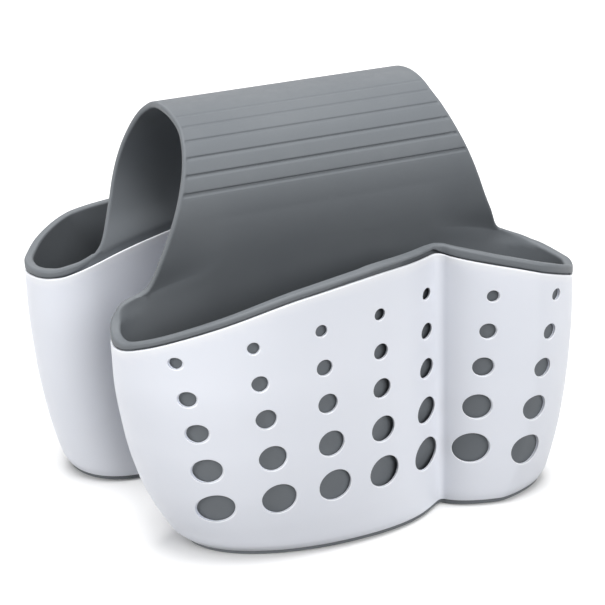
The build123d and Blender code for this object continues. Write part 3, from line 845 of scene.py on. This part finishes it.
def make_soft(rim):
    geo = Geo()
    face_in, face_out = rim.face_in, rim.face_out
    rows = []
    for k, (d, off) in enumerate(rim.sections()):
        q = rim.at(d)
        p = sheet(q[:, 0], q[:, 1], off)
        if k < 3:
            p = face_in(q[:, 0], q[:, 1])
        rows.append(p)
    rows = np.array(rows)
    n = grid_normals(rows)
    # exact normals where the strip meets the faces
    q = rim.at(rim.strip)
    ref0 = face_normals(face_in, q[:, 0], q[:, 1], 1.0)
    ref1 = face_normals(face_out, q[:, 0], q[:, 1], -1.0)
    if (n[0] * ref0).sum() < 0:
        n = -n
    n /= np.linalg.norm(n, axis=2)[:, :, None] + 1e-12
    n[0] = ref0
    for k, d in ((1, rim.sections()[1][0]), (2, rim.sections()[2][0])):
        v = rim.at(d)
        n[k] = face_normals(face_in, v[:, 0], v[:, 1], 1.0)
    n[-1] = ref1
    # crown ends: the turned half continues, so the normals have no y part
    for e in (0, -1):
        n[:, e, 1] = 0
    # edge mask on the lip's rounded top and outer rounding: lighter colour there, rubbed wear plus a painted highlight
    # along the bead's ridge
    wear_and_highlight = np.zeros(rows.shape[:2])
    wear_and_highlight[3:11] = 0.9
    wear_and_highlight[11:19] = 0.7
    geo.grid(rows, n, wear_and_highlight)
    strip_faces = list(range(len(geo.f)))
    cols = rim.n - 1
    strip_col = [i % cols for i in range(len(strip_faces))]

    # cut line between the pocket and the band, just above the flares' feet
    near = np.abs(rim.edge[:, 1] - 99.6)
    ia = int(np.argmin(np.where(rim.left & rim.on_flat & (rim.edge[:, 0] < s_of(0.9)), near, 999)))
    ib = int(np.argmin(np.where(~rim.left & rim.on_flat & (rim.edge[:, 0] > s_of(5.1)), near, 999)))
    face_sets = {"pocket": [], "band": []}
    for i, c in zip(strip_faces, strip_col):
        face_sets["band" if (c < ia or c >= ib) else "pocket"].append(i)

    def patch(fn, sign, z_low, fine):
        q = rim.at(rim.strip)
        pts, loops = [], []
        # closed outline of the domain
        low = np.linspace(0, LOOP, 361)
        ring = list(range(len(q)))
        pts += [tuple(v) for v in q]
        # top right: from the right edge to sigma = LOOP at the crown
        tr = np.linspace(q[-1, 0], LOOP, 30)[1:]
        k = len(pts)
        pts += [(s, B_END) for s in tr]
        ring += list(range(k, len(pts)))
        lines = [g + d for g in GROOVE_B for d in GROOVE_ROWS if g + d < B_END - 0.1] if fine else []
        plain = np.r_[np.linspace(z_low, 108, 34), np.linspace(108, B_END, 48)]
        if fine:
            keep_b = np.ones(len(plain), bool)
            for g in GROOVE_B:
                keep_b &= (plain < g - 1.9) | (plain > g + 1.4)
            keep_b[0] = keep_b[-1] = True
            plain = plain[keep_b]
        rows_b = np.unique(np.r_[plain, lines])[::-1]
        k = len(pts)
        pts += [(LOOP, b) for b in rows_b[1:-1]]
        ring += list(range(k, len(pts)))
        k = len(pts)
        pts += [(s, z_low) for s in low[::-1]]
        ring += list(range(k, len(pts)))
        k = len(pts)
        pts += [(0.0, b) for b in rows_b[::-1][1:-1]]
        ring += list(range(k, len(pts)))
        tl = np.linspace(0, q[0, 0], 30)[:-1]
        k = len(pts)
        pts += [(s, B_END) for s in tl]
        ring += list(range(k, len(pts)))
        poly = np.array([pts[i] for i in ring])
        loops.append((ring, True))
        # the cut lines at both sides, from the free edge to the seam column
        cut_b = float(q[ia, 1]), float(q[ib, 1])
        kl = len(pts)
        n_cut = 24
        sl = np.linspace(q[ia, 0], 0, n_cut + 1)[1:]
        bl = cut_b[0] + (95.5 - cut_b[0]) * smooth(np.linspace(0, 1, n_cut + 1)[1:] * 2)
        pts += list(zip(sl, bl))
        loops.append(([ia] + list(range(kl, kl + n_cut)), False))
        kr = len(pts)
        sr = np.linspace(q[ib, 0], LOOP, n_cut + 1)[1:]
        br = cut_b[1] + (95.5 - cut_b[1]) * smooth(np.linspace(0, 1, n_cut + 1)[1:] * 2)
        pts += list(zip(sr, br))
        loops.append(([ib] + list(range(kr, kr + n_cut)), False))
        # field
        fs, fb = np.meshgrid(np.arange(1.5, LOOP - 1, 3.0), np.arange(z_low + 1.5, B_END - 1, 2.2))
        pf = np.c_[fs.ravel(), fb.ravel()]
        if fine:
            ok = np.ones(len(pf), bool)
            for g in GROOVE_B:
                ok &= (pf[:, 1] < g - 2.2) | (pf[:, 1] > g + 1.7)
            pf = pf[ok]
        # closer points where the rim's crease turns
        sc = s_of(3.0)
        ce = np.array([(sc + ds, b) for ds in np.arange(-7, 7.1, 1.0) for b in np.arange(84, 110, 1.6)])
        pf = np.vstack([pf[(np.abs(pf[:, 0] - sc) > 7.5) | (pf[:, 1] < 84)], ce])
        wide = rim.at(rim.strip + 0.9)
        rim_poly = poly.copy()
        rim_poly[: len(q)] = wide
        pf = pf[in_poly(pf, rim_poly)]
        pf = pf[(pf[:, 0] > 0.7) & (pf[:, 0] < LOOP - 0.7) & (pf[:, 1] < B_END - 0.25)]
        # keep clear of the cut lines' points
        cutpts = np.array(pts[kl:kl + n_cut] + pts[kr:kr + n_cut])
        d2 = ((pf[:, None, :] - cutpts[None]) ** 2).sum(axis=2).min(axis=1)
        pf = pf[d2 > 0.8]
        if fine:
            extra = []
            for b in lines:
                l, r = rim.limits(np.array([b]))
                l, r = float(l[0]) - 2.1, float(r[0]) + 2.1
                extra += [(float(v), b) for v in np.arange(2.0, l - 1.0, 2.0)] + [(l - d, b) for d in (0.2, 0.6)]
                extra += [(float(v), b) for v in LOOP - np.arange(2.0, LOOP - r - 1.0, 2.0)] + [(r + d, b) for d in (0.2, 0.6)]
            pf = np.vstack([pf, np.array(extra)])
        allp = np.vstack([np.array(pts), pf])
        v, tri = triangulate(allp, loops, lambda c: in_poly(c, poly))
        p = fn(v[:, 0], v[:, 1])
        nn = face_normals(fn, v[:, 0], v[:, 1], sign)
        crown = v[:, 1] > B_END - 1e-6
        nn[crown, 1] = 0
        c = v[tri].mean(axis=1)
        lim_l = np.interp(c[:, 0], sl[::-1], bl[::-1])
        lim_r = np.interp(c[:, 0], sr, br)
        lim = np.where(c[:, 0] < LOOP / 2, np.where(c[:, 0] <= q[ia, 0], lim_l, 999), np.where(c[:, 0] >= q[ib, 0], lim_r, 999))
        isband = c[:, 1] > lim
        first = len(geo.f)
        geo.add(p, nn, tri.tolist(), 0.0)
        for i, b in enumerate(isband):
            face_sets["band" if b else "pocket"].append(first + i)

    patch(face_in, 1.0, Z_BOT_IN, True)
    patch(face_out, -1.0, Z_BOT_OUT, False)

    # floor of the pocket: fillet, floor with drains, underside and foot
    nf = 360
    sg = np.linspace(0, LOOP, nf + 1)
    uu = u_of(sg)
    first = len(geo.f)
    R = Z_BOT_IN - FLOOR_TOP
    rows = []
    for a in np.linspace(0, math.pi / 2, 8):
        z = FLOOR_TOP + R - R * math.sin(a)
        q = plan(uu, max(z, FLOOR_TOP + 1.0), I_OFF + R - R * math.cos(a), 1.3, 8.0)
        rows.append(np.c_[q[:, 0], -q[:, 1], np.full(nf + 1, z)])
    rows = np.array(rows)
    n = grid_normals(rows)
    if n[-1, 0, 2] < 0:
        n = -n
    n /= np.linalg.norm(n, axis=2)[:, :, None]
    n[0] = face_normals(face_in, sg, np.full(nf + 1, Z_BOT_IN), 1.0)
    n[-1] = [0, 0, 1]
    for k in range(1, 7):
        n[k] = n[k] / np.linalg.norm(n[k], axis=1)[:, None]
    geo.grid(rows, n, 0.0)

    def plate(border, z, nz):
        pts = [tuple(v) for v in border[:-1, :2]]
        loops = [(list(range(len(pts))), True)]
        rings = []
        for x, y in DRAINS:
            th = np.arange(24) * 2 * math.pi / 24
            k = len(pts)
            r = np.c_[x + (DRAIN_R + 0.25) * np.cos(th), -y + (DRAIN_R + 0.25) * np.sin(th)]
            pts += [tuple(v) for v in r]
            loops.append((list(range(k, k + 24)), True))
            rings.append(r)
        poly = border[:-1, :2]
        gx, gy = np.meshgrid(np.arange(-80, 90, 6.0), np.arange(-70, -20, 6.0))
        g = np.c_[gx.ravel(), gy.ravel()]
        g = g[in_poly(g, poly)]
        for r in rings:
            g = g[np.hypot(g[:, 0] - r[:, 0].mean(), g[:, 1] - r[:, 1].mean()) > DRAIN_R + 1.5]
        allp = np.vstack([np.array(pts), g])

        def keep(c):
            m = in_poly(c, poly)
            for r in rings:
                m &= ~in_poly(c, r)
            return m

        v, tri = triangulate(allp, loops, keep)
        geo.add(np.c_[v, np.full(len(v), z)], np.tile([0, 0, nz], (len(v), 1)), tri.tolist(), 0.0)

    plate(rows[-1], FLOOR_TOP, 1.0)
    # foot: a step as wide as the shell, kept clear of the flat wall, and its root
    flat = GAP + WALL + CLEAR
    fr, fn_ = [], []
    side_n = shell_normal(sg, np.full(nf + 1, 60.0), 0.0)
    down = np.array([0, 0, -1.0])

    def foot_row(o, z, n):
        q = plan(uu, 2.0, o)
        fr.append(np.c_[q[:, 0], -np.maximum(q[:, 1], flat + (o - FOOT_INSET) * (o < 1.45)), np.full(nf + 1, z)])
        fn_.append(n)

    for a in np.linspace(0, math.pi / 2, 5):
        foot_row(FOOT_INSET + 0.5 - 0.5 * math.sin(a), 0.5 - 0.5 * math.cos(a), side_n * math.sin(a) + down * math.cos(a))
    foot_row(FOOT_INSET, FOOT_TOP - 0.2, side_n)
    foot_row(FOOT_INSET + 0.06, FOOT_TOP - 0.06, side_n * 0.7 - down * 0.7)
    foot_row(FOOT_INSET + 0.2, FOOT_TOP, -down + np.zeros((nf + 1, 1)))
    foot_row(O_OFF, FOOT_TOP, -down + np.zeros((nf + 1, 1)))
    # the foot's edges take 0.3 of the edge mask: slightly lighter colour, wear plus painted highlight
    geo.grid(np.array(fr), np.array(fn_), 0.3)
    root = np.array([fr[-1], fr[-1] + [0, 0, Z_BOT_OUT - FOOT_TOP]])
    geo.grid(root, np.array([side_n, side_n]), 0.0)
    plate(fr[0], 0.0, -1.0)
    # drains
    th = np.arange(24) * 2 * math.pi / 24
    for x, y in DRAINS:
        rr, nn = [], []
        rad = np.c_[np.cos(th), np.sin(th), np.zeros(24)]
        for a in np.linspace(0, math.pi / 2, 4):
            r = DRAIN_R + 0.25 - 0.25 * math.sin(a)
            z = FLOOR_TOP - 0.25 + 0.25 * math.cos(a)
            rr.append(np.c_[x + r * np.cos(th), -y + r * np.sin(th), np.full(24, z)])
            nn.append(np.array([0, 0, 1.0]) * math.cos(a) - rad * math.sin(a))
        for a in np.linspace(math.pi / 2, 0, 4):
            r = DRAIN_R + 0.25 - 0.25 * math.sin(a)
            z = 0.25 - 0.25 * math.cos(a)
            rr.append(np.c_[x + r * np.cos(th), -y + r * np.sin(th), np.full(24, z)])
            nn.append(np.array([0, 0, -1.0]) * math.cos(a) - rad * math.sin(a))
        # drain lips take 0.2 of the edge mask: slightly lighter colour, wear plus painted highlight
        geo.grid(np.array(rr), np.array(nn), 0.2, closed=True)
    # underside of the liner between its wall and the foot, inside the shell
    q0 = sheet(sg, np.full(nf + 1, Z_BOT_OUT), O_OFF)
    q1 = root[1]
    geo.grid(np.array([q0, q1]), np.tile([0, 0, -1.0], (2, nf + 1, 1)), 0.0)
    face_sets["pocket"] += list(range(first, len(geo.f)))
    return geo, face_sets


# ------------------------------------------------------------------ materials
def new_material(name):
    m = bpy.data.materials.new(name)
    m.use_nodes = True
    nt = m.node_tree
    return m, nt, nt.nodes["Principled BSDF"]


def noise(nt, coord, scale, detail, rough=0.5):
    n = nt.nodes.new("ShaderNodeTexNoise")
    n.inputs["Scale"].default_value = scale
    n.inputs["Detail"].default_value = detail
    n.inputs["Roughness"].default_value = rough
    nt.links.new(coord, n.inputs["Vector"])
    return n.outputs["Fac"]


def remap(nt, value, a, b, c, d):
    n = nt.nodes.new("ShaderNodeMapRange")
    n.inputs["From Min"].default_value = a
    n.inputs["From Max"].default_value = b
    n.inputs["To Min"].default_value = c
    n.inputs["To Max"].default_value = d
    nt.links.new(value, n.inputs["Value"])
    return n.outputs["Result"]


def mix(nt, fac, a, b):
    n = nt.nodes.new("ShaderNodeMix")
    n.data_type = "RGBA"
    nt.links.new(fac, n.inputs["Factor"])
    for k, v in (("A", a), ("B", b)):
        s = [i for i in n.inputs if i.name == k and i.type == "RGBA"][0]
        if isinstance(v, tuple):
            s.default_value = v
        else:
            nt.links.new(v, s)
    return [o for o in n.outputs if o.type == "RGBA"][0]


def math_node(nt, op, a, b):
    n = nt.nodes.new("ShaderNodeMath")
    n.operation = op
    for i, v in enumerate((a, b)):
        if isinstance(v, (int, float)):
            n.inputs[i].default_value = v
        else:
            nt.links.new(v, n.inputs[i])
    return n.outputs[0]


def bump(nt, height, strength, distance, normal=None):
    n = nt.nodes.new("ShaderNodeBump")
    n.inputs["Strength"].default_value = strength
    n.inputs["Distance"].default_value = distance
    nt.links.new(height, n.inputs["Height"])
    if normal is not None:
        nt.links.new(normal, n.inputs["Normal"])
    return n.outputs["Normal"]


def white_plastic():
    m, nt, b = new_material("white_plastic")
    tc = nt.nodes.new("ShaderNodeTexCoord").outputs["Object"]
    wear_and_highlight = nt.nodes.new("ShaderNodeAttribute")
    wear_and_highlight.attribute_name = "wear_and_highlight"
    broad = noise(nt, tc, 22.0, 3.0)
    fine = noise(nt, tc, 1900.0, 2.0, 0.6)
    flow = noise(nt, tc, 160.0, 4.0)
    base = mix(nt, remap(nt, broad, 0.3, 0.7, 0.0, 1.0), (0.728, 0.752, 0.815, 1), (0.755, 0.778, 0.840, 1))
    # edges lighter by the edge mask: rubbed wear plus a painted highlight on rims and hole bevels
    col = mix(nt, math_node(nt, "MULTIPLY", wear_and_highlight.outputs["Fac"], 0.55), base, (0.86, 0.868, 0.888, 1))
    nt.links.new(col, b.inputs["Base Color"])
    r = remap(nt, flow, 0.3, 0.7, 0.34, 0.44)
    r = math_node(nt, "SUBTRACT", r, math_node(nt, "MULTIPLY", wear_and_highlight.outputs["Fac"], 0.08))
    nt.links.new(r, b.inputs["Roughness"])
    b.inputs["IOR"].default_value = 1.49
    b.inputs["Specular IOR Level"].default_value = 0.42
    b.inputs["Subsurface Weight"].default_value = 0.06
    b.inputs["Subsurface Radius"].default_value = (0.6, 0.5, 0.45)
    b.inputs["Subsurface Scale"].default_value = 0.0012
    n1 = bump(nt, fine, 0.09, 0.00004)
    n2 = bump(nt, flow, 0.05, 0.00012, n1)
    nt.links.new(n2, b.inputs["Normal"])
    return m


def soft_rubber(name, base_a, base_b, edge):
    m, nt, b = new_material(name)
    tc = nt.nodes.new("ShaderNodeTexCoord").outputs["Object"]
    wear_and_highlight = nt.nodes.new("ShaderNodeAttribute")
    wear_and_highlight.attribute_name = "wear_and_highlight"
    broad = noise(nt, tc, 30.0, 4.0)
    mid = noise(nt, tc, 240.0, 5.0, 0.6)
    fine = noise(nt, tc, 2600.0, 2.0, 0.6)
    base = mix(nt, remap(nt, broad, 0.3, 0.7, 0.0, 1.0), base_a, base_b)
    # edge mask broken by noise lightens the colour: rubbed wear plus a painted highlight on bead ridges and edges
    rub = math_node(nt, "MULTIPLY", wear_and_highlight.outputs["Fac"], remap(nt, mid, 0.35, 0.65, 0.25, 0.75))
    col = mix(nt, rub, base, edge)
    nt.links.new(col, b.inputs["Base Color"])
    r = remap(nt, mid, 0.3, 0.7, 0.54, 0.66)
    r = math_node(nt, "SUBTRACT", r, math_node(nt, "MULTIPLY", wear_and_highlight.outputs["Fac"], 0.06))
    nt.links.new(r, b.inputs["Roughness"])
    b.inputs["IOR"].default_value = 1.5
    b.inputs["Specular IOR Level"].default_value = 0.32
    b.inputs["Sheen Weight"].default_value = 0.03
    b.inputs["Sheen Roughness"].default_value = 0.45
    n1 = bump(nt, fine, 0.16, 0.00005)
    n2 = bump(nt, mid, 0.07, 0.0002, n1)
    nt.links.new(n2, b.inputs["Normal"])
    return m


mat_white = white_plastic()
mat_grey = soft_rubber("soft_grey_rubber", (0.119, 0.131, 0.144, 1), (0.134, 0.146, 0.158, 1), (0.149, 0.161, 0.173, 1))

# every carried-over node gets its material too
for name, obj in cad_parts.items():
    obj.data.materials.clear()
    obj.data.materials.append(mat_white if "shell" in name else mat_grey)

# ------------------------------------------------------------------ pieces
shell_geo = make_shell()
for side, turn in (("front", False), ("back", True)):
    o = shell_geo.build(side + "_basket_shell", turn)
    o.data.materials.append(mat_white)
    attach(o, side + "_basket")
    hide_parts(side + "_shell")

band_geo = Geo()
for side, turn, rim in (
        ("front", False, Rim(HALF_W, EDGE_FRONT_L, HALF_WIDE, EDGE_FRONT_R, RISE_R)),
        ("back", True, Rim(HALF_WIDE, EDGE_BACK_L, HALF_W, EDGE_BACK_R, RISE_R_BACK))):
    soft_geo, soft_sets = make_soft(rim)
    o = soft_geo.build(side + "_pocket_liner", turn, [soft_geo.f[i] for i in soft_sets["pocket"]])
    o.data.materials.append(mat_grey)
    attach(o, side + "_holder")
    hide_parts(side + "_liner")
    # the band: both halves as one mesh
    t = [-1, -1, 1] if turn else [1, 1, 1]
    band_geo.f += [tuple(i + band_geo.k for i in soft_geo.f[j]) for j in soft_sets["band"]]
    band_geo.p.append(np.vstack(soft_geo.p) * t)
    band_geo.n.append(np.vstack(soft_geo.n) * t)
    band_geo.w.append(np.concatenate(soft_geo.w))
    band_geo.k += len(band_geo.p[-1])
band = band_geo.build("saddle_band")
band.data.materials.append(mat_grey)
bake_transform(band)
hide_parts("saddle_front_leg", "saddle_back_leg", "saddle_crown")

# ------------------------------------------------------------------ stage
def plain(name, color, rough):
    m, nt, b = new_material(name)
    b.inputs["Base Color"].default_value = color
    b.inputs["Roughness"].default_value = rough
    return m


bpy.ops.mesh.primitive_plane_add(size=60.0, location=(0, 0, -0.0004))
floor = bpy.context.object
floor.name = "floor"
floor.data.materials.append(plain("floor_pale", (0.90, 0.90, 0.90, 1), 0.9))
# the floor sends no light back up into the pockets and the loop
floor.visible_diffuse = False

world = bpy.data.worlds.new("studio")
bpy.context.scene.world = world
world.use_nodes = True
bg = world.node_tree.nodes["Background"]
bg.inputs["Color"].default_value = (1.0, 1.0, 1.0, 1)
bg.inputs["Strength"].default_value = 0.27


def sun(name, az, el, strength, angle):
    d = bpy.data.lights.new(name, "SUN")
    d.energy = strength
    d.angle = math.radians(angle)
    o = bpy.data.objects.new(name, d)
    bpy.context.scene.collection.objects.link(o)
    a, e = math.radians(az), math.radians(el)
    to = Vector((math.sin(a) * math.cos(e), -math.cos(a) * math.cos(e), math.sin(e)))
    o.rotation_mode = "QUATERNION"
    o.rotation_quaternion = (-to).to_track_quat("-Z", "Y")
    o.location = to * 2
    return o


sun("top", 0, 87, 3.0, 34)
sun("front", 0, 28, 1.05, 24)
sun("right", 28, 25, 1.1, 26)
sun("left", -88, 15, 1.9, 28)
sun("back", 165, 35, 0.8, 50)

# ------------------------------------------------------------------ camera
AZ, EL, ROLL = math.radians(-23.45), math.radians(22.16), math.radians(1.83)
DIST, FOCAL, OX, OZ = 0.72915, 1843.55, 0.00254, -0.00607
back = Vector((math.sin(AZ) * math.cos(EL), -math.cos(AZ) * math.cos(EL), math.sin(EL)))
right = Vector((math.cos(AZ), math.sin(AZ), 0))
up = back.cross(right)
place = Vector((0, 0, 0.08)) + back * DIST + right * OX + up * OZ
cr = right * math.cos(ROLL) - up * math.sin(ROLL)
cu = right * math.sin(ROLL) + up * math.cos(ROLL)
cam_data = bpy.data.cameras.new("camera")
cam_data.sensor_width = 36.0
cam_data.lens = FOCAL / 605.0 * 36.0
cam_data.clip_start, cam_data.clip_end = 0.01, 150
cam = bpy.data.objects.new("camera", cam_data)
bpy.context.scene.collection.objects.link(cam)
cam.matrix_world = Matrix(((cr.x, cu.x, back.x, place.x), (cr.y, cu.y, back.y, place.y), (cr.z, cu.z, back.z, place.z), (0, 0, 0, 1)))
bpy.context.scene.camera = cam

bpy.context.scene.view_settings.view_transform = "Standard"
bpy.context.scene.view_settings.look = "None"
